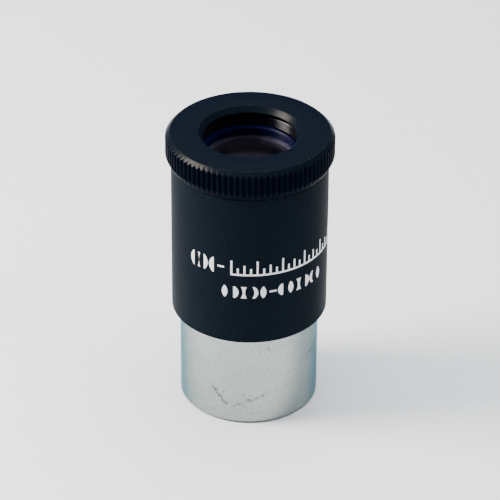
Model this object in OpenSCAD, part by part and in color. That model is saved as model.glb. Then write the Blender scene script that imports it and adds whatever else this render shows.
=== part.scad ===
// Orthoscopic telescope eyepiece with a 1.25 inch barrel and a focal length of about 20 mm.
// Millimetres. +Z points to the observer's eye. The origin is at the centre of the barrel's open end.
//
// Heights are added up from the barrel's open end to the eye, through every piece that the light passes.
// Radii grow outwards from two places: the eye lens, for all that holds glass, and the barrel, for the casing.

/* [Barrel] */
// Outside diameter of the barrel that slides into the telescope
barrel_d = 31.7; // [28:0.1:40]
// Length of the barrel that shows below the body
barrel_len = 23.4; // [18:0.1:35]
// Wall of the barrel at the filter thread, down to the crests of the thread
filter_wall = 1.92; // [1.5:0.01:2.4]
// Depth of the filter thread
filter_len = 5; // [3:0.1:8]
// Depth of the tool relief above the filter thread
relief_len = 0.8; // [0.4:0.1:2]
// How far the relief reaches into the wall, past the crests of the filter thread
relief_depth = 0.32; // [0.1:0.01:0.5]
// Wall of the barrel along its light path
barrel_wall = 2.65; // [2.2:0.05:3]
// Length of the threaded neck that screws into the body
barrel_neck_len = 5; // [3:0.1:8]
// Radial step from the barrel to its threaded neck
barrel_neck_step = 0.85; // [0.5:0.05:1.2]
// Chamfer round the open end of the barrel
barrel_chamfer = 0.5; // [0.2:0.05:0.8]

/* [Body] */
// How far the body stands out past the barrel, on the radius
body_overhang = 1.9; // [1.2:0.1:6]
// Wall of the body, from its outside to the bore that holds the lens cell
body_wall = 3.15; // [2.6:0.05:3.5]
// Radial step from the body to its threaded neck
body_neck_step = 1.25; // [0.8:0.05:1.5]
// Thickness of the web inside the body, above the barrel
web_t = 1.5; // [1:0.1:3]
// Chamfer on the outer edges of the body
body_chamfer = 0.25; // [0.1:0.05:0.6]
// Radial clearance of the web round the stop carrier's lock nut
web_clear = 0.2; // [0.1:0.05:0.5]
// Thickness of the glare baffle between barrel and body
baffle_t = 1; // [0.6:0.1:2]
// Radial step from the barrel's neck in to the baffle
baffle_step = 0.6; // [0.3:0.1:1.2]
// Radial clearance of the baffle's hole round the stop carrier
baffle_clear = 0.3; // [0.2:0.05:1]

/* [Eye cap] */
// How far the crests of the knurl stand out past the body, on the radius
cap_overhang = 1.25; // [0.8:0.05:3]
// Height of the cap
cap_h = 7.2; // [6.6:0.1:12]
// Chamfer round the top of the cap
cap_top_chamfer = 1.05; // [0.5:0.05:1.6]
// Height of the bevel under the knurl
cap_bevel_h = 2; // [1:0.1:3]
// Depth of that bevel, on the radius
cap_bevel_depth = 1; // [0.5:0.05:1.6]
// Number of knurl grooves
knurl_count = 90; // [48:2:120]
// Depth of a knurl groove
knurl_depth = 0.7; // [0.3:0.05:0.9]
// Width of the land between two grooves
knurl_land = 0.36; // [0.2:0.02:0.6]
// Thickness of the cap's lip at the eye hole
lip_t = 1.35; // [1:0.05:2.5]
// How far the eye hole widens through the lip, on the radius
lip_flare = 1.1; // [0.4:0.05:1.6]
// Radial step from the edge of the eye lens in to the eye hole
eye_hole_step = 0.25; // [0.1:0.05:1]
// Gap between the cap's lower edge and the shoulder of the body
cap_gap = 0.15; // [0.05:0.05:0.4]
// Thickness of the washer under the lip
washer_t = 1.05; // [0.5:0.05:2]
// Radial step from the body's neck in to the washer
washer_step = 1; // [0.6:0.1:2]
// How far the washer stands back from the eye hole, on the radius
washer_setback = 2.1; // [0.5:0.1:2.4]

/* [Lens cell] */
// Thickness of the flange that the cell hangs by
cell_flange_t = 0.8; // [0.6:0.1:1.5]
// Radial step from the body's neck in to that flange
cell_flange_step = 0.5; // [0.2:0.1:0.8]
// Height of the cell's upper land, which fits the body's bore
cell_head_h = 8; // [4:0.5:12]
// Height of the cell's lower land
cell_foot_h = 5; // [3:0.5:8]
// Depth of the waist between the two lands, on the radius
cell_waist_depth = 0.6; // [0.2:0.1:0.8]
// Thickness of the ledge that the triplet rests on
seat_t = 1.2; // [0.6:0.1:2]
// How far that ledge reaches in under the triplet, on the radius
seat_lip = 0.8; // [0.4:0.05:1.5]
// Radial step from the edge of the triplet in to the inner edge of the spacer
spacer_reach = 0.4; // [0.2:0.05:0.8]

/* [Eye lens] */
// Diameter of the eye lens
eye_lens_d = 21.5; // [16:0.1:26]
// Thickness of the eye lens at its edge
eye_lens_edge = 2.37; // [1:0.01:4]
// Radius of curvature of the eye lens, on its convex side
eye_lens_r = 17; // [14:0.1:30]
// Depth of the eye lens's flat face below the top of the cap
eye_depth = 6.1; // [5.4:0.1:9]
// Thickness of the ring that holds the eye lens
retainer_t = 1.5; // [1:0.1:2.5]
// How far that ring reaches over the glass, on the radius
retainer_lip = 0.7; // [0.4:0.05:1.2]
// How far that ring stands out past the eye lens, on the radius
retainer_step = 0.45; // [0.3:0.05:0.8]
// Bevel of that ring's upper inner edge
retainer_bevel = 0.35; // [0.1:0.05:0.6]
// How far the ring's thread runs on below the flat face of the lens
retainer_runout = 0.3; // [0.1:0.05:0.8]
// Depth of the two spanner slots in that ring
retainer_slot_depth = 0.7; // [0.4:0.1:0.9]
// Width of the spanner slots, in this ring and in the lock nut
slot_w = 1.5; // [1:0.1:2.5]
// Air gap between the eye lens and the triplet, on the axis
air_gap = 0.4; // [0.2:0.05:2]

/* [Triplet] */
// How much smaller than the eye lens the triplet is, on the radius
triplet_step = 0.75; // [0.3:0.05:2]
// Radius of curvature of the triplet's outer faces
triplet_outer_r = 24; // [18:0.1:40]
// Radius of curvature of its cemented faces
triplet_inner_r = 15; // [13:0.1:30]
// Thickness of each crown element at its edge
crown_edge = 0.6; // [0.4:0.05:3]
// Thickness of the flint element at its centre
flint_t = 1.6; // [0.8:0.1:3]
// Thickness of each layer of cement
cement_t = 0.01; // [0.01:0.01:0.05]

/* [Field stop] */
// Distance from the triplet to the field stop, which is the focal plane
back_focus = 10.45; // [8:0.05:14]
// How far the field stop reaches in past the carrier's bore, on the radius
stop_lip = 0.9; // [0.4:0.05:3]
// Depth of the groove in the carrier that holds the field stop, on the radius
stop_groove = 0.6; // [0.3:0.05:0.7]
// Thickness left at the knife edges of field stop and baffle
knife_edge_t = 0.1; // [0.05:0.05:0.2]
// Thickness of the field stop
stop_t = 0.4; // [0.2:0.05:0.8]
// Height of the cell's lower end above the field stop
stop_below_cell = 0.63; // [0.2:0.01:2]
// Length of the stop carrier inside the cell
carrier_grip = 6.5; // [4:0.1:8]
// Wall of the stop carrier
carrier_wall = 1.35; // [1.2:0.05:1.6]
// Height of the nut that locks the carrier
lock_nut_t = 1.3; // [0.8:0.1:2]
// Width of the lock nut, on the radius
lock_nut_w = 1.3; // [0.8:0.05:1.4]
// Depth of the two spanner slots in the lock nut
nut_slot_depth = 0.6; // [0.3:0.1:0.7]
// Thickness of the snap ring under the field stop
snap_ring_t = 0.4; // [0.3:0.05:0.6]
// Width of the snap ring, on the radius
snap_ring_w = 0.6; // [0.4:0.05:0.8]
// Gap between the snap ring's two ends
snap_ring_gap = 2.4; // [1:0.1:4]

/* [Fits] */
// Radial clearance of the hand-turned threads
thread_clear = 0.05; // [0.02:0.01:0.1]
// Chamfer at the free end of a threaded neck
thread_chamfer = 0.35; // [0.2:0.05:0.6]
// Radial clearance of what slips into a bore
slip_clear = 0.1; // [0.05:0.01:0.2]
// Radial clearance round the lenses
lens_clear = 0.05; // [0.02:0.01:0.1]
// Gap left between two faces that close on each other
face_gap = 0.05; // [0.02:0.01:0.1]

/* [Hidden] */
$fn = 128;

black_anodised = [0.08, 0.1, 0.13];
matt_black = [0.05, 0.05, 0.06];
satin_chrome = [0.78, 0.8, 0.8];
coated_glass = [0.45, 0.4, 0.55, 0.5];

// A hair of overlap, so that a cut never ends exactly on a face.
cut = 0.5;

// Radii of the casing, from the barrel outwards
barrel_r = barrel_d / 2;
barrel_neck_r = barrel_r - barrel_neck_step;
barrel_bore_r = barrel_r - barrel_wall;
filter_r = barrel_r - filter_wall;
body_r = barrel_r + body_overhang;
body_bore_r = body_r - body_wall;
body_neck_r = body_r - body_neck_step;
cap_r = body_r + cap_overhang;
cap_thread_r = body_neck_r + thread_clear;

// Radii of what holds the glass, from the eye lens outwards
eye_lens_rad = eye_lens_d / 2;
triplet_rad = eye_lens_rad - triplet_step;
lens_bore_r = eye_lens_rad + lens_clear;
triplet_bore_r = triplet_rad + lens_clear;
retainer_r = eye_lens_rad + retainer_step;
retainer_bore_r = eye_lens_rad - retainer_lip;
seat_r = triplet_rad - seat_lip;
spacer_bore_r = triplet_rad - spacer_reach;
eye_hole_r = eye_lens_rad - eye_hole_step;
cell_r = body_bore_r - slip_clear;
cell_waist_r = cell_r - cell_waist_depth;
cell_flange_r = body_neck_r - cell_flange_step;
carrier_r = triplet_bore_r - slip_clear;
carrier_bore_r = carrier_r - carrier_wall;
lock_nut_r = carrier_r + thread_clear + lock_nut_w;
web_bore_r = lock_nut_r + web_clear;
baffle_r = barrel_neck_r - baffle_step;
baffle_bore_r = carrier_r + baffle_clear;
stop_r = carrier_bore_r + stop_groove;
stop_hole_r = carrier_bore_r - stop_lip;
washer_r = body_neck_r - washer_step;
washer_bore_r = eye_hole_r + washer_setback;

// Depth of a spherical face at a distance r from the axis
function sag(curvature_r, r) = curvature_r - sqrt(curvature_r * curvature_r - r * r);

eye_lens_t = eye_lens_edge + sag(eye_lens_r, eye_lens_rad);
crown_t = crown_edge + sag(triplet_outer_r, triplet_rad) + sag(triplet_inner_r, triplet_rad);
triplet_t = 2 * crown_t + flint_t + 2 * cement_t;

// Heights, from the barrel's open end to the eye
z_body = barrel_len;
z_barrel_top = z_body + barrel_neck_len;
z_baffle = z_barrel_top + face_gap;
z_web = z_baffle + baffle_t + face_gap;
z_cell = z_web + web_t + face_gap;
z_stop = z_cell - stop_below_cell;
z_triplet = z_stop + back_focus;
z_flint = z_triplet + crown_t + cement_t;
z_eye_crown = z_flint + flint_t + cement_t;
z_triplet_top = z_triplet + triplet_t;
z_eye_lens = z_triplet_top + air_gap;
z_eye_face = z_eye_lens + eye_lens_t;
z_top = z_eye_face + eye_depth;
z_cap = z_top - cap_h;
z_lip = z_top - lip_t;
z_cell_top = z_lip - washer_t - 2 * face_gap;
z_body_neck_top = z_cell_top - cell_flange_t - face_gap;
z_body_shoulder = z_cap - cap_gap;
z_seat = z_triplet + sag(triplet_outer_r, seat_r);
z_carrier = z_stop - snap_ring_t - face_gap;
z_carrier_top = z_cell + carrier_grip;
z_spacer = z_triplet_top - sag(triplet_outer_r, spacer_bore_r);
z_spacer_top = z_eye_lens + sag(eye_lens_r, spacer_bore_r);

// A turned ring: everything between two radii and two heights
module ring(r_in, r_out, z_low, z_high)
    rotate_extrude()
        translate([r_in, z_low])
            square([r_out - r_in, z_high - z_low]);

// A ball whose lowest point is at height z
module ball_above(r, z) translate([0, 0, z + r]) sphere(r = r);

// A ball whose highest point is at height z
module ball_below(r, z) translate([0, 0, z - r]) sphere(r = r);

// A plain glass disc between two heights
module glass_disc(r, z_low, z_high) translate([0, 0, z_low]) cylinder(r = r, h = z_high - z_low);

// Two opposite slots for a pin spanner, cut across a ring between two heights
module spanner_slots(r_in, r_out, z_low, z_high)
    for (side = [0, 180])
        rotate([0, 0, side])
            translate([r_in - cut, -slot_w / 2, z_low])
                cube([r_out - r_in + 2 * cut, slot_w, z_high - z_low]);

module barrel()
    color(satin_chrome)
        rotate_extrude()
            polygon([
                [filter_r + barrel_chamfer, 0],
                [barrel_r - barrel_chamfer, 0],
                [barrel_r, barrel_chamfer],
                [barrel_r, z_body],
                [barrel_neck_r, z_body],
                [barrel_neck_r, z_barrel_top - thread_chamfer],
                [barrel_neck_r - thread_chamfer, z_barrel_top],
                [barrel_bore_r, z_barrel_top],
                [barrel_bore_r, filter_len + relief_len],
                [filter_r + relief_depth, filter_len + relief_len],
                [filter_r + relief_depth, filter_len],
                [filter_r, filter_len],
                [filter_r, barrel_chamfer],
            ]);

// A thin washer with a knife edge round its hole, which stops glare from the barrel's wall
module barrel_baffle()
    color(matt_black)
        rotate_extrude()
            polygon([
                [baffle_bore_r + baffle_t - knife_edge_t, z_baffle],
                [baffle_r, z_baffle],
                [baffle_r, z_baffle + baffle_t],
                [baffle_bore_r, z_baffle + baffle_t],
                [baffle_bore_r, z_baffle + baffle_t - knife_edge_t],
            ]);

module body()
    color(black_anodised)
        rotate_extrude()
            polygon([
                [barrel_neck_r + thread_clear, z_body + face_gap],
                [body_r - body_chamfer, z_body + face_gap],
                [body_r, z_body + face_gap + body_chamfer],
                [body_r, z_body_shoulder - body_chamfer],
                [body_r - body_chamfer, z_body_shoulder],
                [body_neck_r, z_body_shoulder],
                [body_neck_r, z_body_neck_top - thread_chamfer],
                [body_neck_r - thread_chamfer, z_body_neck_top],
                [body_bore_r, z_body_neck_top],
                [body_bore_r, z_web + web_t],
                [web_bore_r, z_web + web_t],
                [web_bore_r, z_web],
                [baffle_r + slip_clear, z_web],
                [baffle_r + slip_clear, z_barrel_top + face_gap],
                [barrel_neck_r + thread_clear, z_barrel_top + face_gap],
            ]);

// The tube that holds all the glass: it hangs in the body by its flange
module lens_cell()
    color(matt_black)
        rotate_extrude()
            polygon([
                [carrier_r + thread_clear, z_cell],
                [cell_r, z_cell],
                [cell_r, z_cell + cell_foot_h],
                [cell_waist_r, z_cell + cell_foot_h],
                [cell_waist_r, z_cell_top - cell_head_h],
                [cell_r, z_cell_top - cell_head_h],
                [cell_r, z_cell_top - cell_flange_t],
                [cell_flange_r, z_cell_top - cell_flange_t],
                [cell_flange_r, z_cell_top],
                [retainer_r + thread_clear, z_cell_top],
                [retainer_r + thread_clear, z_eye_face - retainer_runout],
                [lens_bore_r, z_eye_face - retainer_runout],
                [lens_bore_r, z_spacer],
                [triplet_bore_r, z_spacer],
                [triplet_bore_r, z_seat],
                [seat_r, z_seat],
                [seat_r, z_seat - seat_t],
                [carrier_r + thread_clear, z_seat - seat_t],
            ]);

// A threaded tube at the cell's lower end, which sets the field stop in the focal plane
module field_stop_carrier()
    color(matt_black)
        rotate_extrude()
            polygon([
                [stop_r + lens_clear, z_carrier],
                [carrier_r, z_carrier],
                [carrier_r, z_carrier_top],
                [carrier_bore_r, z_carrier_top],
                [carrier_bore_r, z_stop + stop_t + face_gap],
                [stop_r + lens_clear, z_stop + stop_t + face_gap],
            ]);

module carrier_lock_nut()
    color(matt_black)
        difference() {
            high = z_cell - face_gap;
            low = high - lock_nut_t;
            ring(carrier_r + thread_clear, lock_nut_r, low, high);
            spanner_slots(carrier_r, lock_nut_r, low - cut, low + nut_slot_depth);
        }

// A thin disc with a knife-edged hole
module field_stop()
    color(matt_black)
        rotate_extrude()
            polygon([
                [stop_hole_r, z_stop],
                [stop_r, z_stop],
                [stop_r, z_stop + stop_t],
                [stop_hole_r + stop_t - knife_edge_t, z_stop + stop_t],
                [stop_hole_r, z_stop + knife_edge_t],
            ]);

module stop_snap_ring()
    color(satin_chrome)
        difference() {
            ring(stop_r - snap_ring_w, stop_r, z_carrier + face_gap, z_stop - face_gap);
            translate([0, -stop_r, z_stop])
                cube([snap_ring_gap, 4 * snap_ring_w, 4 * snap_ring_t], center = true);
        }

module triplet_field_crown()
    color(coated_glass)
        intersection() {
            glass_disc(triplet_rad, z_triplet, z_triplet + crown_t);
            ball_above(triplet_outer_r, z_triplet);
            ball_below(triplet_inner_r, z_triplet + crown_t);
        }

module triplet_flint()
    color(coated_glass)
        difference() {
            flint_edge = sag(triplet_inner_r, triplet_rad);
            glass_disc(triplet_rad, z_flint - flint_edge, z_flint + flint_t + flint_edge);
            ball_below(triplet_inner_r, z_flint);
            ball_above(triplet_inner_r, z_flint + flint_t);
        }

module triplet_eye_crown()
    color(coated_glass)
        intersection() {
            glass_disc(triplet_rad, z_eye_crown, z_eye_crown + crown_t);
            ball_above(triplet_inner_r, z_eye_crown);
            ball_below(triplet_outer_r, z_triplet_top);
        }

// A ring that keeps the two groups apart: the inner edge of each end touches the glass
module lens_spacer()
    color(matt_black)
        ring(spacer_bore_r, eye_lens_rad, z_spacer + face_gap, z_spacer_top - face_gap);

module eye_lens()
    color(coated_glass)
        intersection() {
            glass_disc(eye_lens_rad, z_eye_lens, z_eye_face);
            ball_above(eye_lens_r, z_eye_lens);
        }

// A slotted ring screwed down on the eye lens, bevelled towards the glass
module eye_lens_retainer()
    color(matt_black)
        difference() {
            low = z_eye_face + face_gap;
            high = z_eye_face + retainer_t;
            rotate_extrude()
                polygon([
                    [retainer_bore_r, low],
                    [retainer_r, low],
                    [retainer_r, high],
                    [retainer_bore_r + retainer_bevel, high],
                    [retainer_bore_r, high - retainer_bevel],
                ]);
            spanner_slots(retainer_bore_r, retainer_r, high - retainer_slot_depth, high + cut);
        }

module cap_washer()
    color(matt_black)
        ring(washer_bore_r, washer_r, z_cell_top + face_gap, z_lip - face_gap);

// Outline of the knurl, seen from above: V grooves with a narrow land between each two
module knurl_outline() {
    pitch_angle = 360 / knurl_count;
    land_angle = asin(knurl_land / 2 / cap_r);
    floor_r = cap_r - knurl_depth;
    polygon([
        for (i = [0 : knurl_count - 1], corner = [-1, 1, 0])
            let (a = i * pitch_angle + (corner == 0 ? pitch_angle / 2 : corner * land_angle))
            (corner == 0 ? floor_r : cap_r) * [cos(a), sin(a)]
    ]);
}

module eye_cap()
    color(black_anodised)
        difference() {
            intersection() {
                translate([0, 0, z_cap]) linear_extrude(cap_h) knurl_outline();
                rotate_extrude()
                    polygon([
                        [0, z_cap],
                        [cap_r - cap_bevel_depth, z_cap],
                        [cap_r, z_cap + cap_bevel_h],
                        [cap_r, z_top - cap_top_chamfer],
                        [cap_r - cap_top_chamfer, z_top],
                        [0, z_top],
                    ]);
            }
            translate([0, 0, z_cap - cut]) cylinder(r = cap_thread_r, h = z_lip - z_cap + cut);
            translate([0, 0, z_lip - cut]) cylinder(r = eye_hole_r, h = lip_t + 2 * cut);
            translate([0, 0, z_lip]) cylinder(r1 = eye_hole_r, r2 = eye_hole_r + lip_flare, h = lip_t);
        }

barrel();
barrel_baffle();
body();
lens_cell();
field_stop_carrier();
carrier_lock_nut();
field_stop();
stop_snap_ring();
triplet_field_crown();
triplet_flint();
triplet_eye_crown();
lens_spacer();
eye_lens();
eye_lens_retainer();
cap_washer();
eye_cap();
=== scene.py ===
"""Orthoscopic telescope eyepiece: the turned, knurled and threaded pieces, the glass and their finishes.

Every piece is turned about the Z axis, as on a lathe. Its outline is a list of corners in the plane of
radius and height, in metres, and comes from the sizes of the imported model.
"""

from math import asin, ceil, cos, hypot, pi, radians, sin, sqrt, tan, tau

import bmesh
import bpy
from mathutils import Matrix, Vector


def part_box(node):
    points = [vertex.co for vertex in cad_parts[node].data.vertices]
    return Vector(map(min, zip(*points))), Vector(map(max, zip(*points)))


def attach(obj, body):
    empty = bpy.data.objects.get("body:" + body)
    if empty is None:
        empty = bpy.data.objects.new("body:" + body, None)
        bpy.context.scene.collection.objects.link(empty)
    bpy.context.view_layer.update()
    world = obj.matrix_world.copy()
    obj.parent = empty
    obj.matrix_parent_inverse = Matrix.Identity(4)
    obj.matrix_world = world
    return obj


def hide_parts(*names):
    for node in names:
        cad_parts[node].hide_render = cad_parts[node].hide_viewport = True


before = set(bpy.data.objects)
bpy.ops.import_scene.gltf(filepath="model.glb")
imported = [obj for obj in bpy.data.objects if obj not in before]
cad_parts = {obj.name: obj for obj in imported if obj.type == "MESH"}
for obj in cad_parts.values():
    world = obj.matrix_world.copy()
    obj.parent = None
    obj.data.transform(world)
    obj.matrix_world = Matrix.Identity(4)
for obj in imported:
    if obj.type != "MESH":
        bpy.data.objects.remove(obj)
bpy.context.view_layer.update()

MM = 0.001
SAME_HEIGHT = 0.02 * MM


# ---------------------------------------------------------------- sizes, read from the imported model

def rings(node, low=-1.0, high=1.0):
    """The smallest and largest distance from the axis of a node's points between two heights."""
    points = [v.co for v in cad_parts[node].data.vertices]
    found = [hypot(p.x, p.y) for p in points if low - SAME_HEIGHT <= p.z <= high + SAME_HEIGHT]
    return min(found), max(found)


def heights(node):
    """The lowest and highest point of a node."""
    low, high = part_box(node)
    return low[2], high[2]


BARREL_LOW, BARREL_TOP = heights("barrel")
BAFFLE_LOW, BAFFLE_TOP = heights("barrel_baffle")
BODY_LOW, BODY_TOP = heights("body")
CELL_LOW, CELL_TOP = heights("lens_cell")
CARRIER_LOW, CARRIER_TOP = heights("field_stop_carrier")
NUT_LOW, NUT_TOP = heights("carrier_lock_nut")
STOP_LOW, STOP_TOP = heights("field_stop")
SNAP_LOW, SNAP_TOP = heights("stop_snap_ring")
TRIPLET_LOW, _ = heights("triplet_field_crown")
_, TRIPLET_TOP = heights("triplet_eye_crown")
SPACER_LOW, SPACER_TOP = heights("lens_spacer")
EYE_LENS_LOW, EYE_LENS_TOP = heights("eye_lens")
RETAINER_LOW, RETAINER_TOP = heights("eye_lens_retainer")
WASHER_LOW, WASHER_TOP = heights("cap_washer")
CAP_LOW, CAP_TOP = heights("eye_cap")

FACE_GAP = WASHER_LOW - CELL_TOP
LIP_LOW = WASHER_TOP + FACE_GAP

BARREL_R = rings("barrel")[1]
BARREL_BORE_R = rings("barrel")[0]
BARREL_NECK_R = rings("barrel", BODY_LOW + MM, BARREL_TOP - 0.1 * MM)[1]
FILTER_R = rings("barrel", BARREL_LOW + 0.2 * MM, BARREL_LOW + MM)[0]
BAFFLE_BORE_R, BAFFLE_R = rings("barrel_baffle")
BODY_R = rings("body")[1]
BODY_BORE_R = rings("body", BODY_TOP, BODY_TOP)[0]
BODY_THREAD_BORE_R = rings("body", BODY_LOW, BODY_LOW)[0]
WEB_BORE_R = rings("body")[0]
CELL_FLANGE_R = rings("lens_cell")[1]
CELL_R = rings("lens_cell", CELL_LOW, CELL_LOW)[1]
CELL_THREAD_R = rings("lens_cell", CELL_TOP, CELL_TOP)[0]
SEAT_R = rings("lens_cell")[0]
CARRIER_THREAD_R = rings("lens_cell", CELL_LOW, CELL_LOW)[0]
CARRIER_BORE_R, CARRIER_R = rings("field_stop_carrier")
NUT_R = rings("carrier_lock_nut")[1]
STOP_HOLE_R, STOP_R = rings("field_stop")
SNAP_R = rings("stop_snap_ring")[1]
TRIPLET_R = rings("triplet_flint")[1]
SPACER_BORE_R, SPACER_R = rings("lens_spacer")
EYE_LENS_R = rings("eye_lens")[1]
RETAINER_BORE_R, RETAINER_R = rings("eye_lens_retainer")
WASHER_BORE_R, WASHER_R = rings("cap_washer")
CAP_R = rings("eye_cap")[1]
CAP_THREAD_R, CAP_EDGE_R = rings("eye_cap", CAP_LOW, CAP_LOW)
EYE_HOLE_R = rings("eye_cap")[0]
EYE_RIM_R, CAP_FACE_R = rings("eye_cap", CAP_TOP, CAP_TOP)
CAP_GAP = 0.15 * MM
THREAD_CLEAR = 0.05 * MM
LENS_CLEAR = 0.05 * MM
SLIP_CLEAR = 0.1 * MM
BODY_SHOULDER = CAP_LOW - CAP_GAP
BODY_NECK_R = CAP_THREAD_R - THREAD_CLEAR

KNURL_COUNT = 90
KNURL_DEPTH = 0.7 * MM
KNURL_LAND = 0.36 * MM
KNURL_BEVEL_H = 2 * MM
KNURL_END_SHARE = 0.6
KNURL_END_H = 0.7 * MM
CAP_PITCH = 0.75 * MM
RETAINER_PITCH = 0.5 * MM
FILTER_PITCH = 0.6 * MM
FILTER_DEPTH = 5 * MM
FILTER_RELIEF = 0.8 * MM
BAFFLE_EDGE = 0.1 * MM
EYE_CURVE = 17 * MM
TRIPLET_CURVE = 24 * MM
WEB_T = 1.5 * MM
CELL_FLANGE_T = 0.8 * MM
CELL_HEAD_H = 8 * MM
CELL_FOOT_H = 5 * MM
CELL_WAIST = 0.6 * MM
SEAT_T = 1.2 * MM
SLOT_HALF_WIDTH = 0.75 * MM

ROUND = 192
CORNER_STEPS = 3
MERGED = 1e-8


def sag(curve, r):
    """Depth of a spherical face at a distance r from the axis."""
    return curve - sqrt(curve * curve - r * r)


# ---------------------------------------------------------------- shapes

def softened(corners):
    """An outline whose corners (r, z, rounding) are rounded off; a rounding of 0 keeps the corner sharp."""
    outline = []
    count = len(corners)
    for i, (r, z, rounding) in enumerate(corners):
        if not rounding:
            outline.append((r, z))
            continue
        ends = []
        for other in (corners[i - 1], corners[(i + 1) % count]):
            length = hypot(other[0] - r, other[1] - z)
            share = min(rounding, 0.45 * length) / length
            ends.append((r + share * (other[0] - r), z + share * (other[1] - z)))
        for step in range(CORNER_STEPS + 1):
            t = step / CORNER_STEPS
            a, b, c = (1 - t) ** 2, 2 * t * (1 - t), t * t
            outline.append((
                a * ends[0][0] + b * r + c * ends[1][0],
                a * ends[0][1] + b * z + c * ends[1][1],
            ))
    return outline


def around(count=ROUND):
    """Evenly spaced angles for one turn."""
    return [tau * i / count for i in range(count)]


def skin(mesh, loops, closed=True):
    """Joins loops of points, one after another, into a solid: a full turn, or else one with two ends."""
    count = len(loops[0])
    following = loops[1:] + loops[:1] if closed else loops[1:]
    for here, there in zip(loops, following):
        for k in range(count):
            after = (k + 1) % count
            mesh.faces.new((here[k], there[k], there[after], here[after]))
    if not closed:
        mesh.faces.new(loops[0])
        mesh.faces.new(reversed(loops[-1]))


def spin(mesh, outline_at, stations, closed=True):
    """Joins the outline of each station into a turned solid. A station is an angle, or (angle, in a slot)."""
    loops = []
    for station in stations:
        angle = station[0] if isinstance(station, tuple) else station
        outline = outline_at(station)
        loops.append([mesh.verts.new((r * cos(angle), r * sin(angle), z)) for r, z in outline])
    skin(mesh, loops, closed)


def helix_ridge(mesh, root_r, crest_r, low, high, pitch, through, steps=96):
    """A right-handed screw thread: one V-shaped ridge wound from low to high, fading out at both ends.
    The ridge passes the +X side at the height "through", and its foot is sunk in the wall."""
    foot = 0.38 * pitch
    flat = 0.09 * pitch
    least = 0.02
    foot_r = root_r + 0.03 * MM if crest_r < root_r else root_r - 0.03 * MM
    first = ceil((low - through) / pitch * steps)
    last = int((high - through) / pitch * steps)
    fade = steps / 6
    sections = []
    for i in range(first, last + 1):
        angle = tau * i / steps
        z = through + pitch * i / steps
        grown = min(1.0, (i - first) / fade + least, (last - i) / fade + least)
        tip_r = root_r + (crest_r - root_r) * grown
        section = [(foot_r, z - foot), (tip_r, z - flat), (tip_r, z + flat), (foot_r, z + foot)]
        if crest_r < root_r:
            section.reverse()
        sections.append([mesh.verts.new((r * cos(angle), r * sin(angle), z)) for r, z in section])
    skin(mesh, sections, closed=False)


def finished(name, mesh, body, materials, sharp=35, finish_at=None):
    """Turns the mesh into a piece with smooth faces, which rides on a body. finish_at(r, z) gives the number
    of a face's material, from 0, and edges over an angle of sharp degrees stay sharp."""
    bmesh.ops.remove_doubles(mesh, verts=mesh.verts, dist=MERGED)
    bmesh.ops.dissolve_degenerate(mesh, edges=mesh.edges, dist=MERGED)
    data = bpy.data.meshes.new(name)
    mesh.to_mesh(data)
    mesh.free()
    for material in materials:
        data.materials.append(material)
    for face in data.polygons:
        face.use_smooth = True
        if finish_at:
            centre = face.center
            face.material_index = int(finish_at(hypot(centre.x, centre.y), centre.z))
    data.set_sharp_from_angle(angle=radians(sharp))
    piece = bpy.data.objects.new(name, data)
    bpy.context.scene.collection.objects.link(piece)
    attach(piece, body)
    return piece


def turned(name, corners, body, materials, threads=(), finish_at=None, sharp=35):
    """A turned piece from the corners of its outline, with the screw threads that belong to it."""
    mesh = bmesh.new()
    outline = softened(corners)
    spin(mesh, lambda station: outline, around())
    for thread in threads:
        helix_ridge(mesh, *thread)
    return finished(name, mesh, body, materials, sharp, finish_at)


def slotted(corners, floor, on_top):
    """Outline and stations of a ring with two spanner slots, on top or below: there, the outline is cut off
    at the slot's floor."""
    outline = softened(corners)
    middle_r = sum(r for r, _ in outline) / len(outline)
    half = asin(SLOT_HALF_WIDTH / middle_r)
    between_slots = 80
    cut = min if on_top else max

    def outline_at(station):
        return [(r, cut(z, floor)) for r, z in outline] if station[1] else outline

    stations = []
    for start in (0.0, pi):
        stations += [(start - half, False)]
        stations += [(start + half * side, True) for side in (-1, -0.5, 0, 0.5, 1)]
        stations += [(start + half, False)]
        free = pi - 2 * half
        stations += [(start + half + free * i / between_slots, False) for i in range(1, between_slots)]
    return outline_at, stations


# ---------------------------------------------------------------- shader groups

def new_group(name, inputs, outputs):
    """An empty shader node group with value inputs and the outputs named."""
    tree = bpy.data.node_groups.new(name, "ShaderNodeTree")
    for socket, default in inputs.items():
        made = tree.interface.new_socket(socket, in_out="INPUT", socket_type="NodeSocketFloat")
        made.default_value = default
    for socket in outputs:
        tree.interface.new_socket(socket, in_out="OUTPUT", socket_type="NodeSocketFloat")
    return tree, tree.nodes.new("NodeGroupInput"), tree.nodes.new("NodeGroupOutput")


def put(tree, kind, settings=None, **sockets):
    """Adds a node. Each further keyword is a socket's name, with _ for a space, or i and its number; it
    gives the socket's value, or the output that feeds it."""
    made = tree.nodes.new(kind)
    for key, value in (settings or {}).items():
        setattr(made, key, value)
    for key, value in sockets.items():
        numbered = key[0] == "i" and key[1:].isdigit()
        socket = made.inputs[int(key[1:]) if numbered else key.replace("_", " ")]
        if isinstance(value, bpy.types.NodeSocket):
            tree.links.new(value, socket)
        else:
            socket.default_value = value
    return made


def maths(tree, operation, first, second=0.0):
    """The result of a Math node."""
    return put(tree, "ShaderNodeMath", {"operation": operation}, i0=first, i1=second).outputs[0]


def plus(tree, first, second):
    return maths(tree, "ADD", first, second)


def minus(tree, first, second):
    return maths(tree, "SUBTRACT", first, second)


def times(tree, first, second):
    return maths(tree, "MULTIPLY", first, second)


def over(tree, first, second):
    return maths(tree, "DIVIDE", first, second)


def clamped(tree, value):
    """A value held between 0 and 1."""
    return put(tree, "ShaderNodeClamp", Value=value).outputs[0]


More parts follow.
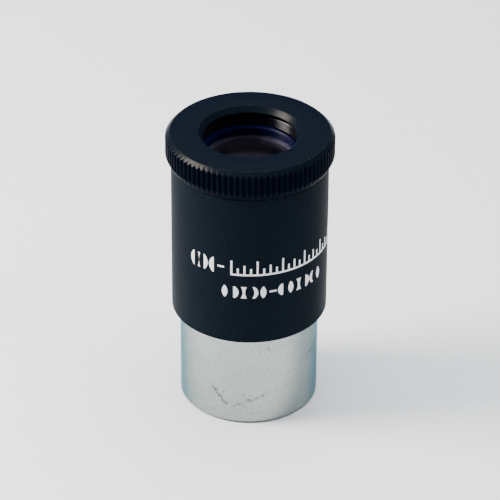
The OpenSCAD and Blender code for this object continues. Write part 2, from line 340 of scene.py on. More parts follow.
def noise(tree, point, scale, detail, roughness=0.6):
    """Noise through space, from about 0 to 1."""
    made = put(tree, "ShaderNodeTexNoise", Vector=point, Scale=scale, Detail=detail, Roughness=roughness)
    return made.outputs[0]


def noise_along(tree, distance, detail):
    """Noise along a line, from about 0 to 1."""
    made = put(tree, "ShaderNodeTexNoise", {"noise_dimensions": "1D"}, W=distance, Scale=1.0, Detail=detail)
    return made.outputs[0]


def own_point(tree):
    """The shaded point, in the object's own frame."""
    return put(tree, "ShaderNodeTexCoord").outputs["Object"]


def place(tree, point):
    """Distance from the axis, height and angle of a point."""
    x, y, z = put(tree, "ShaderNodeSeparateXYZ", Vector=point).outputs
    radius = maths(tree, "SQRT", plus(tree, times(tree, x, x), times(tree, y, y)))
    return radius, z, maths(tree, "ARCTAN2", y, x)


def make_turning_lines():
    """Fine rings left by the lathe tool, on walls and on faces alike, and slower bands among them."""
    tree, given, result = new_group("turning_lines", {"Lines per mm": 12.0, "Unevenness": 0.5}, ["Height"])
    bands_per_line = 0.13
    twist = 0.05
    radius, z, angle = place(tree, own_point(tree))
    along = times(tree, plus(tree, z, radius), 1 / MM)
    lines = times(tree, along, given.outputs["Lines per mm"])
    bands = plus(tree, times(tree, lines, bands_per_line), times(tree, angle, twist))
    uneven = times(tree, noise_along(tree, bands, 1.0), given.outputs["Unevenness"])
    tree.links.new(plus(tree, noise_along(tree, lines, 2.0), uneven), result.inputs["Height"])
    return tree


def make_chatter():
    """Fine marks across a turned cone, where the tool shook."""
    tree, given, result = new_group("tool_chatter", {"Marks per turn": 300.0}, ["Height"])
    changes_per_mm = 1.2
    _, z, angle = place(tree, own_point(tree))
    marks = times(tree, times(tree, angle, 1 / tau), given.outputs["Marks per turn"])
    across = put(tree, "ShaderNodeCombineXYZ", X=marks, Y=times(tree, z, changes_per_mm / MM))
    tree.links.new(noise(tree, across.outputs[0], 1.0, 2.0), result.inputs["Height"])
    return tree


def make_grain():
    """Even fine grain of a blasted or painted surface, and the soft mottling under it."""
    inputs = {"Grains per mm": 8.0, "Blotch mm": 4.0}
    tree, given, result = new_group("surface_grain", inputs, ["Height", "Mottle"])
    point = own_point(tree)
    grains = times(tree, given.outputs["Grains per mm"], 1 / MM)
    blotches = over(tree, 1 / MM, given.outputs["Blotch mm"])
    tree.links.new(noise(tree, point, grains, 3.0), result.inputs["Height"])
    tree.links.new(noise(tree, point, blotches, 4.0), result.inputs["Mottle"])
    return tree


def make_specks():
    """Scattered specks of dust or tiny pits: 1 on a speck, 0 elsewhere."""
    tree, given, result = new_group("specks", {"Spacing mm": 2.0, "Size": 0.06}, ["Mask"])
    sharpness = 30.0
    scale = over(tree, 1 / MM, given.outputs["Spacing mm"])
    cells = put(tree, "ShaderNodeTexVoronoi", Vector=own_point(tree), Scale=scale)
    inside = minus(tree, given.outputs["Size"], cells.outputs["Distance"])
    tree.links.new(clamped(tree, times(tree, inside, sharpness)), result.inputs["Mask"])
    return tree


def make_edge_wear():
    """Rubbed bright edge all round: 1 on the edge, fading over a width, broken up by noise."""
    inputs = {"Radius mm": 0.0, "Height mm": 0.0, "Width mm": 0.1, "Breaks per mm": 1.5}
    tree, given, result = new_group("edge_wear", inputs, ["Mask"])
    unworn_share = 0.48
    contrast = 5.0
    point = own_point(tree)
    radius, z, _ = place(tree, point)
    out = minus(tree, times(tree, radius, 1 / MM), given.outputs["Radius mm"])
    up = minus(tree, times(tree, z, 1 / MM), given.outputs["Height mm"])
    away = maths(tree, "SQRT", plus(tree, times(tree, out, out), times(tree, up, up)))
    at_edge = clamped(tree, minus(tree, 1.0, over(tree, away, given.outputs["Width mm"])))
    breaks = times(tree, given.outputs["Breaks per mm"], 1 / MM)
    broken = noise(tree, point, breaks, 4.0, 0.7)
    worn = times(tree, minus(tree, broken, unworn_share), contrast)
    tree.links.new(clamped(tree, times(tree, at_edge, worn)), result.inputs["Mask"])
    return tree


def make_scuff():
    """One jagged rub mark on the barrel: a thin line along an arc, given by angle and height."""
    inputs = {
        "Angle": -1.8, "Height mm": 12.0, "Half length": 0.3,
        "Slope mm": 0.0, "Bow mm": 2.0, "Width mm": 0.25,
    }
    tree, given, result = new_group("scuff_mark", inputs, ["Mask"])
    jags_per_metre = 800.0
    jag_mm = 4.6
    fade = 2.0
    point = own_point(tree)
    _, z, angle = place(tree, point)
    span = over(tree, minus(tree, angle, given.outputs["Angle"]), given.outputs["Half length"])
    bowed = times(tree, times(tree, span, span), given.outputs["Bow mm"])
    sloped = times(tree, span, given.outputs["Slope mm"])
    line = plus(tree, plus(tree, bowed, sloped), given.outputs["Height mm"])
    wobble = minus(tree, noise(tree, point, jags_per_metre, 4.0, 0.75), 0.5)
    jagged = plus(tree, line, times(tree, wobble, jag_mm))
    away = maths(tree, "ABSOLUTE", minus(tree, times(tree, z, 1 / MM), jagged))
    on_line = clamped(tree, minus(tree, 1.0, over(tree, away, given.outputs["Width mm"])))
    before_ends = minus(tree, 1.0, times(tree, span, span))
    within = clamped(tree, times(tree, before_ends, fade))
    tree.links.new(times(tree, on_line, within), result.inputs["Mask"])
    return tree


TURNING_LINES = make_turning_lines()
CHATTER = make_chatter()
GRAIN = make_grain()
SPECKS = make_specks()
EDGE_WEAR = make_edge_wear()
SCUFF = make_scuff()


def effect(tree, group, **values):
    """Places a shader group in a material, with its values; an underscore stands for a space."""
    made = tree.nodes.new("ShaderNodeGroup")
    made.node_tree = group
    for key, value in values.items():
        made.inputs[key.replace("_", " ")].default_value = value
    return made.outputs


# ---------------------------------------------------------------- finishes

def new_finish(name, **constants):
    """A material with one Principled shader, whose constant sockets are set."""
    material = bpy.data.materials.new(name)
    material.use_nodes = True
    tree = material.node_tree
    shader = tree.nodes["Principled BSDF"]
    for key, value in constants.items():
        shader.inputs[key.replace("_", " ")].default_value = value
    return material, tree, shader


def between(tree, factor, first, second):
    """A colour between two, by a factor."""
    mixed = put(tree, "ShaderNodeMix", {"data_type": "RGBA"}, i0=factor)
    for index, colour in ((6, first), (7, second)):
        if isinstance(colour, bpy.types.NodeSocket):
            tree.links.new(colour, mixed.inputs[index])
        else:
            mixed.inputs[index].default_value = (*colour, 1)
    return mixed.outputs[2]


def levels(tree, value, low, high):
    """A mask from 0 to 1, mapped to the range from low to high."""
    return put(tree, "ShaderNodeMapRange", Value=value, To_Min=low, To_Max=high).outputs[0]


def feed(tree, shader, colour, roughness):
    """Feeds the shader's colour and roughness."""
    tree.links.new(colour, shader.inputs["Base Color"])
    tree.links.new(roughness, shader.inputs["Roughness"])


def add_bump(tree, shader, *layers):
    """Feeds the shader's normal from bump layers of (height, depth in metres)."""
    normal = None
    for height, depth in layers:
        bump = put(tree, "ShaderNodeBump", Height=height, Distance=depth, Strength=1.0)
        if normal:
            tree.links.new(normal, bump.inputs["Normal"])
        normal = bump.outputs["Normal"]
    tree.links.new(normal, shader.inputs["Normal"])


def anodised(
        name, dark, light, roughness, lines, edges=(), chatter=0.0, grain_depth=0.004 * MM, **constants):
    """Black anodised aluminium: a deep dyed layer over turned and blasted metal, rubbed at some edges. The
    blue in the dark and light colours it is given is painted reflection of a blue surround.
    """
    material, tree, shader = new_finish(name, Metallic=0.0, **constants)
    rubbed = (0.20, 0.20, 0.21)
    rubbed_share = 0.07
    grain = effect(tree, GRAIN, Grains_per_mm=7.0, Blotch_mm=3.0)
    turning = effect(tree, TURNING_LINES, Lines_per_mm=lines, Unevenness=0.6)
    fine = effect(tree, GRAIN, Grains_per_mm=3.0, Blotch_mm=0.8)
    flecked = between(tree, levels(tree, fine["Height"], -0.9, 1.9), dark, light)
    middle = [(a + b) / 2 for a, b in zip(dark, light)]
    colour = between(tree, times(tree, grain["Mottle"], 0.5), flecked, middle)
    for r, z, width in edges:
        worn = effect(tree, EDGE_WEAR, Radius_mm=r / MM, Height_mm=z / MM, Width_mm=width)
        colour = between(tree, times(tree, worn["Mask"], rubbed_share), colour, rubbed)
    feed(tree, shader, colour, levels(tree, grain["Mottle"], roughness - 0.05, roughness + 0.07))
    layers = [(turning["Height"], 0.0012 * MM), (grain["Height"], grain_depth)]
    if chatter:
        marks = effect(tree, CHATTER, Marks_per_turn=260.0)
        layers.append((marks["Height"], chatter))
    add_bump(tree, shader, *layers)
    return material


def rub_marks(tree):
    """A mask of the barrel's rub marks, each an angle, a height and a half length, then its slope, bow and
    width in millimetres."""
    marks = None
    for angle, height, half, slope, bow, width in (
        (-2.00, 6.8, 0.15, -2.6, 0.2, 0.55),
        (-1.56, 6.3, 0.29, 2.2, -0.2, 0.22),
        (-1.28, 20.4, 0.03, -0.7, 0.0, 0.35),
        (-0.45, 15.0, 0.30, 1.2, -0.8, 0.12),
        (1.30, 9.0, 0.45, -0.9, 1.1, 0.18),
        (2.60, 16.5, 0.25, 1.5, 0.5, 0.14),
    ):
        mark = effect(
            tree, SCUFF, Angle=angle, Height_mm=height, Half_length=half, Slope_mm=slope, Bow_mm=bow,
            Width_mm=width)["Mask"]
        marks = maths(tree, "MAXIMUM", marks, mark) if marks else mark
    return marks


def satin_chrome():
    """Satin chrome on brass: fine grain and rings, a few pits and some rub marks, with a painted blue
    reflection at a low angle.
    """
    # Painted reflection: the blue tint at a low angle and the slight cyan lean of dull and bright stand in
    # for a blue surround mirrored in the chrome.
    painted_blue_reflection_tint = (0.27, 0.42, 0.52, 1)
    dull, bright, fleck = (0.33, 0.375, 0.355), (0.44, 0.49, 0.465), (0.19, 0.21, 0.20)
    pit, rub = (0.07, 0.06, 0.055), (0.07, 0.05, 0.038)
    material, tree, shader = new_finish("satin_chrome", Metallic=1.0, Specular_Tint=painted_blue_reflection_tint)
    turning = effect(tree, TURNING_LINES, Lines_per_mm=14.0, Unevenness=0.8)
    grain = effect(tree, GRAIN, Grains_per_mm=5.0, Blotch_mm=6.0)
    fine = effect(tree, GRAIN, Grains_per_mm=4.5, Blotch_mm=0.45)
    specks = effect(tree, SPECKS, Spacing_mm=2.4, Size=0.085)
    marks = rub_marks(tree)
    broad = between(tree, grain["Mottle"], dull, bright)
    flecked = between(tree, levels(tree, fine["Height"], -1.2, 1.8), broad, fleck)
    pitted = between(tree, times(tree, specks["Mask"], 0.75), flecked, pit)
    colour = between(tree, times(tree, marks, 0.95), pitted, rub)
    satin = levels(tree, grain["Mottle"], 0.20, 0.30)
    feed(tree, shader, colour, plus(tree, satin, times(tree, marks, 0.2)))
    add_bump(tree, shader, (turning["Height"], 0.0008 * MM), (specks["Mask"], -0.004 * MM))
    return material


def matt_paint(name, dark, light, roughness=0.75, gloss=0.05):
    """Flat paint over coarse turning, for what must not shine inside the eyepiece."""
    material, tree, shader = new_finish(name, Metallic=0.0, Specular_IOR_Level=gloss)
    grain = effect(tree, GRAIN, Grains_per_mm=10.0, Blotch_mm=1.5)
    turning = effect(tree, TURNING_LINES, Lines_per_mm=4.0, Unevenness=0.3)
    colour = between(tree, grain["Mottle"], dark, light)
    feed(tree, shader, colour, levels(tree, grain["Mottle"], roughness - 0.1, roughness + 0.1))
    add_bump(tree, shader, (turning["Height"], 0.006 * MM), (grain["Height"], 0.005 * MM))
    return material


def spring_steel():
    """Drawn steel wire."""
    material, tree, shader = new_finish("spring_steel", Metallic=1.0)
    grain = effect(tree, GRAIN, Grains_per_mm=12.0, Blotch_mm=0.8)
    colour = between(tree, grain["Mottle"], (0.30, 0.30, 0.31), (0.5, 0.5, 0.5))
    feed(tree, shader, colour, levels(tree, grain["Mottle"], 0.25, 0.45))
    add_bump(tree, shader, (grain["Height"], 0.003 * MM))
    return material


def coated_glass(name, index, coating):
    """Polished glass with an anti-reflection coating that tints what it mirrors. Light reaches the walls
    behind it, and a few specks of dust lie on it."""
    material, tree, shader = new_finish(
        name, Metallic=0.0, Transmission_Weight=1.0, IOR=index, Specular_Tint=(*coating, 1))
    dust = (0.75, 0.74, 0.72)
    specks = effect(tree, SPECKS, Spacing_mm=3.2, Size=0.02)
    grain = effect(tree, GRAIN, Grains_per_mm=2.0, Blotch_mm=3.0)
    clear = between(tree, grain["Mottle"], (0.97, 0.965, 0.97), (0.99, 0.99, 0.99))
    feed(tree, shader, between(tree, specks["Mask"], clear, dust), times(tree, specks["Mask"], 0.3))
    passing = put(tree, "ShaderNodeLightPath")
    open_glass = put(tree, "ShaderNodeBsdfTransparent", Color=(0.9, 0.9, 0.9, 1))
    mixed = put(
        tree, "ShaderNodeMixShader", i0=passing.outputs["Is Shadow Ray"],
        i1=shader.outputs["BSDF"], i2=open_glass.outputs["BSDF"])
    tree.links.new(mixed.outputs[0], tree.nodes["Material Output"].inputs["Surface"])
    return material


def white_ink():
    """Screen-printed white enamel, slightly uneven."""
    material, tree, shader = new_finish("white_ink", Metallic=0.0)
    grain = effect(tree, GRAIN, Grains_per_mm=9.0, Blotch_mm=0.7)
    colour = between(tree, grain["Mottle"], (0.78, 0.79, 0.80), (0.92, 0.92, 0.92))
    feed(tree, shader, colour, levels(tree, grain["Mottle"], 0.4, 0.6))
    add_bump(tree, shader, (grain["Height"], 0.003 * MM))
    return material


BODY_WORN_R = BODY_R - 0.12 * MM
# Painted reflection: the blue in the colours of the body, cap, bevel, knurl and cell finishes below stands in
# for a blue surround mirrored in the anodising; their near-black is the dye.
BODY_BLACK = anodised(
    "black_anodised_body", (0.0020, 0.0036, 0.0064), (0.0056, 0.0110, 0.0182), 0.46, 9.0,
    edges=(
        (BODY_WORN_R, BODY_LOW + 0.12 * MM, 0.3),
        (BODY_WORN_R, BODY_SHOULDER - 0.12 * MM, 0.25),
    ),
    Specular_IOR_Level=0.014)
CAP_BLACK = anodised(
    "black_anodised_cap", (0.0011, 0.0020, 0.0040), (0.0046, 0.0080, 0.0137), 0.12, 7.0,
    edges=((CAP_FACE_R, CAP_TOP, 0.3), (EYE_RIM_R, CAP_TOP, 0.25)), grain_depth=0.0012 * MM,
    Specular_IOR_Level=0.15)
BEVEL_BLACK = anodised(
    "black_anodised_bevel", (0.0008, 0.0020, 0.0038), (0.0036, 0.0078, 0.0140), 0.30, 5.0,
    chatter=0.02 * MM, Specular_IOR_Level=0.08, Specular_Tint=(1.0, 0.90, 0.80, 1))
KNURL_BLACK = anodised(
    "black_anodised_knurl", (0.0006, 0.0016, 0.0050), (0.0028, 0.0050, 0.0125), 0.34, 3.0,
    edges=((CAP_R, CAP_TOP - CAP_R + CAP_FACE_R, 0.25),), Specular_IOR_Level=0.007)
CELL_BLACK = anodised(
    "black_anodised_cell", (0.0012, 0.0014, 0.0034), (0.0030, 0.0034, 0.0070), 0.18, 6.0,
    Specular_IOR_Level=0.12)
# Painted blue reflection: the ring is black anodised, and its strong blue stands in for a blue surround
# mirrored at the lens rim.
RING_PAINTED_BLUE_REFLECTION = anodised(
    "black_anodised_ring_painted_blue_reflection", (0.0005, 0.0009, 0.0120), (0.0015, 0.0022, 0.0230), 0.36, 6.0,
    Specular_IOR_Level=0.06)
INNER_BLACK = matt_paint("matt_black_inside", (0.0030, 0.0028, 0.0036), (0.0056, 0.0052, 0.0062))
# Painted blue reflection: the eye lens's edge is blackened, and its deep blue stands in for the dark blue
# crescent the glass shows.
EDGE_PAINT_AND_BLUE_REFLECTION = matt_paint("lens_edge_paint_and_painted_blue_reflection", (0.0006, 0.0012, 0.0220), (0.0010, 0.0018, 0.0300), 0.7)
# Painted reflection: the spacer, the triplet's edge and the cell's lens bore are mauve and about ten times
# lighter than the other inside paint, standing in for the brownish reflection seen in the lens.
SPACER_PAINTED_REFLECTION = matt_paint("spacer_painted_reflection", (0.033, 0.030, 0.052), (0.048, 0.043, 0.070), 0.85, gloss=0.0)
EYE_GLASS = coated_glass("coated_eye_glass", 1.62, (0.50, 0.42, 0.50))
TRIPLET_GLASS = coated_glass("coated_triplet_glass", 1.56, (0.40, 0.30, 0.36))
CHROME = satin_chrome()
WIRE = spring_steel()
INK = white_ink()


# ---------------------------------------------------------------- casing

CAP_THREAD_DEPTH = 0.42 * MM
FINE_THREAD_DEPTH = 0.27 * MM
BARREL_NECK_ROOT = BARREL_NECK_R - CAP_THREAD_DEPTH
BODY_NECK_ROOT = BODY_NECK_R - CAP_THREAD_DEPTH
CELL_THREAD_LOW = EYE_LENS_TOP - 0.3 * MM


def knurled_radius(angle):
    """Radius of the cap's outside at an angle: V grooves with a narrow land between each two."""
    pitch = tau / KNURL_COUNT
    land = KNURL_LAND / 2 / CAP_R / pitch
    from_land = abs((angle / pitch + 0.5) % 1.0 - 0.5)
    into_groove = max(0.0, from_land - land) / (0.5 - land)
    return CAP_R - KNURL_DEPTH * into_groove


def cap_outline(angle):
    """The cap's outline at an angle. Bevel and chamfer run into the grooves, so their ends are pointed, and
    each groove gets shallower just below the chamfer."""
    outside = knurled_radius(angle)
    groove_end = CAP_R - KNURL_END_SHARE * (CAP_R - outside)
    bevel_top = CAP_LOW + KNURL_BEVEL_H * (outside - CAP_EDGE_R) / (CAP_R - CAP_EDGE_R)
    chamfer_low = CAP_TOP - (groove_end - CAP_FACE_R)
    return softened([
        (CAP_THREAD_R + 0.25 * MM, CAP_LOW, 0.08 * MM),
        (CAP_EDGE_R, CAP_LOW, 0.12 * MM),
        (outside, bevel_top, 0.09 * MM),
        (outside, chamfer_low - KNURL_END_H, 0.15 * MM),
        (groove_end, chamfer_low, 0.09 * MM),
        (CAP_FACE_R, CAP_TOP, 0.10 * MM),
        (EYE_RIM_R, CAP_TOP, 0.12 * MM),
        (EYE_HOLE_R, LIP_LOW + 0.15 * MM, 0.05 * MM),
        (EYE_HOLE_R, LIP_LOW, 0.05 * MM),
        (CAP_THREAD_R + 0.15 * MM, LIP_LOW, 0.05 * MM),
        (CAP_THREAD_R + 0.15 * MM, WASHER_LOW - 0.6 * MM, 0.05 * MM),
        (CAP_THREAD_R, WASHER_LOW - 0.75 * MM, 0.05 * MM),
        (CAP_THREAD_R, CAP_LOW + 0.25 * MM, 0.05 * MM),
    ])


def knurl_stations():
    """Angles at the edges of every land and down the flanks of every groove."""
    pitch = tau / KNURL_COUNT
    land = KNURL_LAND / 2 / CAP_R / pitch
    shares = (-land - 0.02, -land + 0.02, land - 0.02, land + 0.02, 0.24, 0.36, 0.475, 0.525, 0.64, 0.76)
    return [pitch * (i + share) for i in range(KNURL_COUNT) for share in shares]


def cap_finish(r, z):
    """The number of a face's finish on the cap."""
    plain, knurl, bevel, thread = range(4)
    if r > CAP_FACE_R + 0.04 * MM:
        return knurl if z < CAP_TOP - r + CAP_FACE_R - 0.05 * MM else bevel
    if z > LIP_LOW and r < EYE_RIM_R:
        return bevel
    return thread if r < CAP_THREAD_R + 0.2 * MM and z < WASHER_LOW else plain


def build_cap():
    mesh = bmesh.new()
    spin(mesh, cap_outline, knurl_stations())
    helix_ridge(
        mesh, CAP_THREAD_R, CAP_THREAD_R - CAP_THREAD_DEPTH, CAP_LOW + 0.5 * MM, WASHER_LOW - 1.1 * MM,
        CAP_PITCH, BODY_SHOULDER + 1.5 * CAP_PITCH)
    cap = finished(
        "knurled_cap", mesh, "eye_cap", [CAP_BLACK, KNURL_BLACK, BEVEL_BLACK, INNER_BLACK],
        sharp=30, finish_at=cap_finish)
    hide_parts("eye_cap")


def build_washer():
    washer = turned("washer_under_cap", [
        (WASHER_BORE_R, WASHER_LOW, 0.1 * MM), (WASHER_R, WASHER_LOW, 0.1 * MM),
        (WASHER_R, WASHER_TOP, 0.1 * MM), (WASHER_BORE_R, WASHER_TOP, 0.1 * MM),
    ], "cap_washer", [INNER_BLACK])
    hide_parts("cap_washer")


def build_body():
    edge = 0.25 * MM
    web_low = BAFFLE_TOP + FACE_GAP
    recess_r = BAFFLE_R + SLIP_CLEAR
    corners = [
        (BODY_THREAD_BORE_R + edge, BODY_LOW, 0.05 * MM),
        (BODY_R - edge, BODY_LOW, 0.08 * MM),
        (BODY_R, BODY_LOW + edge, 0.08 * MM),
        (BODY_R, BODY_SHOULDER - edge, 0.08 * MM),
        (BODY_R - edge, BODY_SHOULDER, 0.08 * MM),
        (BODY_NECK_ROOT, BODY_SHOULDER, 0.04 * MM),
        (BODY_NECK_ROOT, BODY_TOP, 0.06 * MM),
        (BODY_BORE_R, BODY_TOP, 0.1 * MM),
        (BODY_BORE_R, web_low + WEB_T, 0.05 * MM),
        (WEB_BORE_R, web_low + WEB_T, 0.08 * MM),
        (WEB_BORE_R, web_low, 0.08 * MM),
        (recess_r, web_low, 0.05 * MM),
        (recess_r, BARREL_TOP + FACE_GAP, 0.05 * MM),
        (BODY_THREAD_BORE_R, BARREL_TOP + FACE_GAP, 0.05 * MM),
        (BODY_THREAD_BORE_R, BODY_LOW + edge, 0.05 * MM),
    ]
    threads = [
        (BODY_NECK_ROOT, BODY_NECK_R, BODY_SHOULDER + 0.6 * MM, BODY_TOP - 0.25 * MM, CAP_PITCH,
         BODY_SHOULDER + CAP_PITCH),
        (BODY_THREAD_BORE_R, BODY_THREAD_BORE_R - CAP_THREAD_DEPTH, BODY_LOW + 0.5 * MM,
         BARREL_TOP - 0.3 * MM, CAP_PITCH, BODY_LOW + 1.5 * CAP_PITCH),
    ]
    body = turned(
        "main_body", corners, "body", [BODY_BLACK, INNER_BLACK], threads,
        finish_at=lambda r, z: r < BODY_THREAD_BORE_R + 0.1 * MM and z < BODY_TOP - MM)
    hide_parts("body")


def build_barrel():
    edge = 0.5 * MM
    relief_r = FILTER_R + 0.32 * MM
    corners = [
        (FILTER_R + edge, BARREL_LOW, 0.06 * MM),
        (BARREL_R - edge, BARREL_LOW, 0.12 * MM),
        (BARREL_R, BARREL_LOW + edge, 0.15 * MM),
        (BARREL_R, BODY_LOW - FACE_GAP, 0.12 * MM),
        (BARREL_NECK_ROOT, BODY_LOW - FACE_GAP, 0.05 * MM),
        (BARREL_NECK_ROOT, BARREL_TOP, 0.1 * MM),
        (BARREL_BORE_R, BARREL_TOP, 0.1 * MM),
        (BARREL_BORE_R, BARREL_LOW + FILTER_DEPTH + FILTER_RELIEF, 0.1 * MM),
        (relief_r, BARREL_LOW + FILTER_DEPTH + FILTER_RELIEF, 0.05 * MM),
        (relief_r, BARREL_LOW + edge, 0.05 * MM),
    ]
    threads = [
        (relief_r, FILTER_R, BARREL_LOW + 0.55 * MM, BARREL_LOW + FILTER_DEPTH, FILTER_PITCH,
         BARREL_LOW + MM),
        (BARREL_NECK_ROOT, BARREL_NECK_R, BODY_LOW + 0.7 * MM, BARREL_TOP - 0.25 * MM, CAP_PITCH,
         BODY_LOW + CAP_PITCH),
    ]
    painted_from = BARREL_LOW + FILTER_DEPTH
    barrel = turned(
        "chromed_barrel", corners, "barrel", [CHROME, INNER_BLACK], threads,
        finish_at=lambda r, z: r < relief_r + 0.02 * MM and painted_from < z < BARREL_TOP - 0.2 * MM)
    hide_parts("barrel")


def build_baffle():
    baffle = turned("glare_baffle", [
        (BAFFLE_BORE_R + BAFFLE_TOP - BAFFLE_LOW - BAFFLE_EDGE, BAFFLE_LOW, 0.05 * MM),
        (BAFFLE_R, BAFFLE_LOW, 0.1 * MM),
        (BAFFLE_R, BAFFLE_TOP, 0.1 * MM),
        (BAFFLE_BORE_R, BAFFLE_TOP, 0.03 * MM),
        (BAFFLE_BORE_R, BAFFLE_TOP - BAFFLE_EDGE, 0.03 * MM),
    ], "baffle", [INNER_BLACK])
    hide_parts("barrel_baffle")


# ---------------------------------------------------------------- lens cell and what it holds

def build_cell():
    lens_bore = EYE_LENS_R + LENS_CLEAR
    triplet_bore = TRIPLET_R + LENS_CLEAR
    seat = TRIPLET_LOW + sag(TRIPLET_CURVE, SEAT_R)
    waist_r = CELL_R - CELL_WAIST
    corners = [
        (CARRIER_THREAD_R, CELL_LOW, 0.1 * MM),
        (CELL_R, CELL_LOW, 0.2 * MM),
        (CELL_R, CELL_LOW + CELL_FOOT_H, 0.1 * MM),
        (waist_r, CELL_LOW + CELL_FOOT_H, 0.2 * MM),
        (waist_r, CELL_TOP - CELL_HEAD_H, 0.2 * MM),
        (CELL_R, CELL_TOP - CELL_HEAD_H, 0.1 * MM),
        (CELL_R, CELL_TOP - CELL_FLANGE_T, 0.05 * MM),
        (CELL_FLANGE_R, CELL_TOP - CELL_FLANGE_T, 0.1 * MM),
        (CELL_FLANGE_R, CELL_TOP, 0.15 * MM),
        (CELL_THREAD_R + 0.3 * MM, CELL_TOP, 0.05 * MM),
        (CELL_THREAD_R, CELL_TOP - 0.3 * MM, 0.05 * MM),
        (CELL_THREAD_R, CELL_THREAD_LOW, 0.05 * MM),
        (lens_bore, CELL_THREAD_LOW, 0.05 * MM),
        (lens_bore, SPACER_LOW - 0.05 * MM, 0.05 * MM),
        (triplet_bore, SPACER_LOW - 0.05 * MM, 0.05 * MM),
        (triplet_bore, seat, 0.03 * MM),
        (SEAT_R, seat, 0.05 * MM),
        (SEAT_R, seat - SEAT_T, 0.1 * MM),
        (CARRIER_THREAD_R, seat - SEAT_T, 0.05 * MM),
    ]
    thread = (
        CELL_THREAD_R, CELL_THREAD_R - FINE_THREAD_DEPTH, CELL_THREAD_LOW + 0.1 * MM, CELL_TOP - 0.1 * MM,
        RETAINER_PITCH, CELL_TOP)
    # The lens bore takes the painted reflection finish.
    cell = turned(
        "lens_cell_tube", corners, "body", [CELL_BLACK, SPACER_PAINTED_REFLECTION], [thread], sharp=72,
        finish_at=lambda r, z: r < lens_bore + 0.1 * MM and z < EYE_LENS_TOP)
    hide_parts("lens_cell")


def build_retainer():
    root = RETAINER_R - FINE_THREAD_DEPTH
    outline_at, stations = slotted([
        (RETAINER_BORE_R, RETAINER_LOW, 0.05 * MM),
        (root, RETAINER_LOW, 0.08 * MM),
        (root, RETAINER_TOP, 0.08 * MM),
        (RETAINER_BORE_R + 0.35 * MM, RETAINER_TOP, 0.06 * MM),
        (RETAINER_BORE_R, RETAINER_TOP - 0.35 * MM, 0.06 * MM),
    ], RETAINER_TOP - 0.7 * MM, on_top=True)
    mesh = bmesh.new()
    spin(mesh, outline_at, stations)
    helix_ridge(
        mesh, root, RETAINER_R, RETAINER_LOW + 0.15 * MM, RETAINER_TOP - 0.9 * MM, RETAINER_PITCH,
        CELL_TOP + RETAINER_PITCH / 2)
    retainer = finished("eye_lens_ring", mesh, "body", [RING_PAINTED_BLUE_REFLECTION], sharp=72)
    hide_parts("eye_lens_retainer")


def dome(curve, radius, apex, upwards, rows=28):
    """Points of a spherical face from the axis to its edge; upwards is true where its middle is highest."""
    side = -1 if upwards else 1
    return [(radius * i / rows, apex + side * sag(curve, radius * i / rows)) for i in range(rows + 1)]


def build_glass():
    """Each group of lenses is one body of glass with a painted edge: cemented faces don't show."""
    edge = 0.12 * MM
    eye_edge = EYE_LENS_LOW + sag(EYE_CURVE, EYE_LENS_R - edge)
    eye_outline = dome(EYE_CURVE, EYE_LENS_R - edge, EYE_LENS_LOW, False)
    eye_outline += [(EYE_LENS_R, eye_edge + edge), (EYE_LENS_R, EYE_LENS_TOP - edge)]
    eye_outline += [(EYE_LENS_R - edge, EYE_LENS_TOP), (0.0, EYE_LENS_TOP)]
    mesh = bmesh.new()
    spin(mesh, lambda station: eye_outline, around())
    eye = finished(
        "eye_lens_glass", mesh, "body", [EYE_GLASS, EDGE_PAINT_AND_BLUE_REFLECTION],
        finish_at=lambda r, z: r > EYE_LENS_R - edge)
    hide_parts("eye_lens")
    low = dome(TRIPLET_CURVE, TRIPLET_R - edge, TRIPLET_LOW, False)
    high = dome(TRIPLET_CURVE, TRIPLET_R - edge, TRIPLET_TOP, True)
    outline = low + [(TRIPLET_R, low[-1][1] + edge), (TRIPLET_R, high[-1][1] - edge)] + high[::-1]
    mesh = bmesh.new()
    spin(mesh, lambda station: outline, around())
    # The triplet's edge takes the painted reflection finish.
    triplet = finished(
        "cemented_triplet", mesh, "body", [TRIPLET_GLASS, SPACER_PAINTED_REFLECTION],
        finish_at=lambda r, z: r > TRIPLET_R - edge)
    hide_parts("triplet_field_crown", "triplet_flint", "triplet_eye_crown")


def build_spacer():
    groove_depth = 0.04 * MM
    grooves = 14
    rise = (SPACER_TOP - SPACER_LOW) / grooves
    corners = [
        (SPACER_BORE_R, SPACER_LOW, 0),
        (SPACER_R, SPACER_LOW, 0.1 * MM),
        (SPACER_R, SPACER_TOP, 0.1 * MM),
    ]
    for i in range(grooves):
        z = SPACER_TOP - i * rise
        corners += [(SPACER_BORE_R, z, 0), (SPACER_BORE_R + groove_depth, z - 0.5 * rise, 0)]
    # The spacer takes the painted reflection finish.
    spacer = turned("spacer_tube", corners, "body", [SPACER_PAINTED_REFLECTION])
    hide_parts("lens_spacer")


def build_carrier():
    root = CARRIER_R - FINE_THREAD_DEPTH
    groove_r = STOP_R + LENS_CLEAR
    groove_top = STOP_TOP + FACE_GAP
    carrier = turned("stop_carrier_tube", [
        (groove_r, CARRIER_LOW, 0.05 * MM), (root, CARRIER_LOW, 0.08 * MM),
        (root, CARRIER_TOP, 0.08 * MM), (CARRIER_BORE_R, CARRIER_TOP, 0.05 * MM),
        (CARRIER_BORE_R, groove_top, 0.05 * MM), (groove_r, groove_top, 0.03 * MM),
    ], "body", [INNER_BLACK], [(
        root, CARRIER_R, CARRIER_LOW + 0.1 * MM, CARRIER_TOP - 0.2 * MM, RETAINER_PITCH,
        CARRIER_LOW + 0.3 * MM)])
    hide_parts("field_stop_carrier")


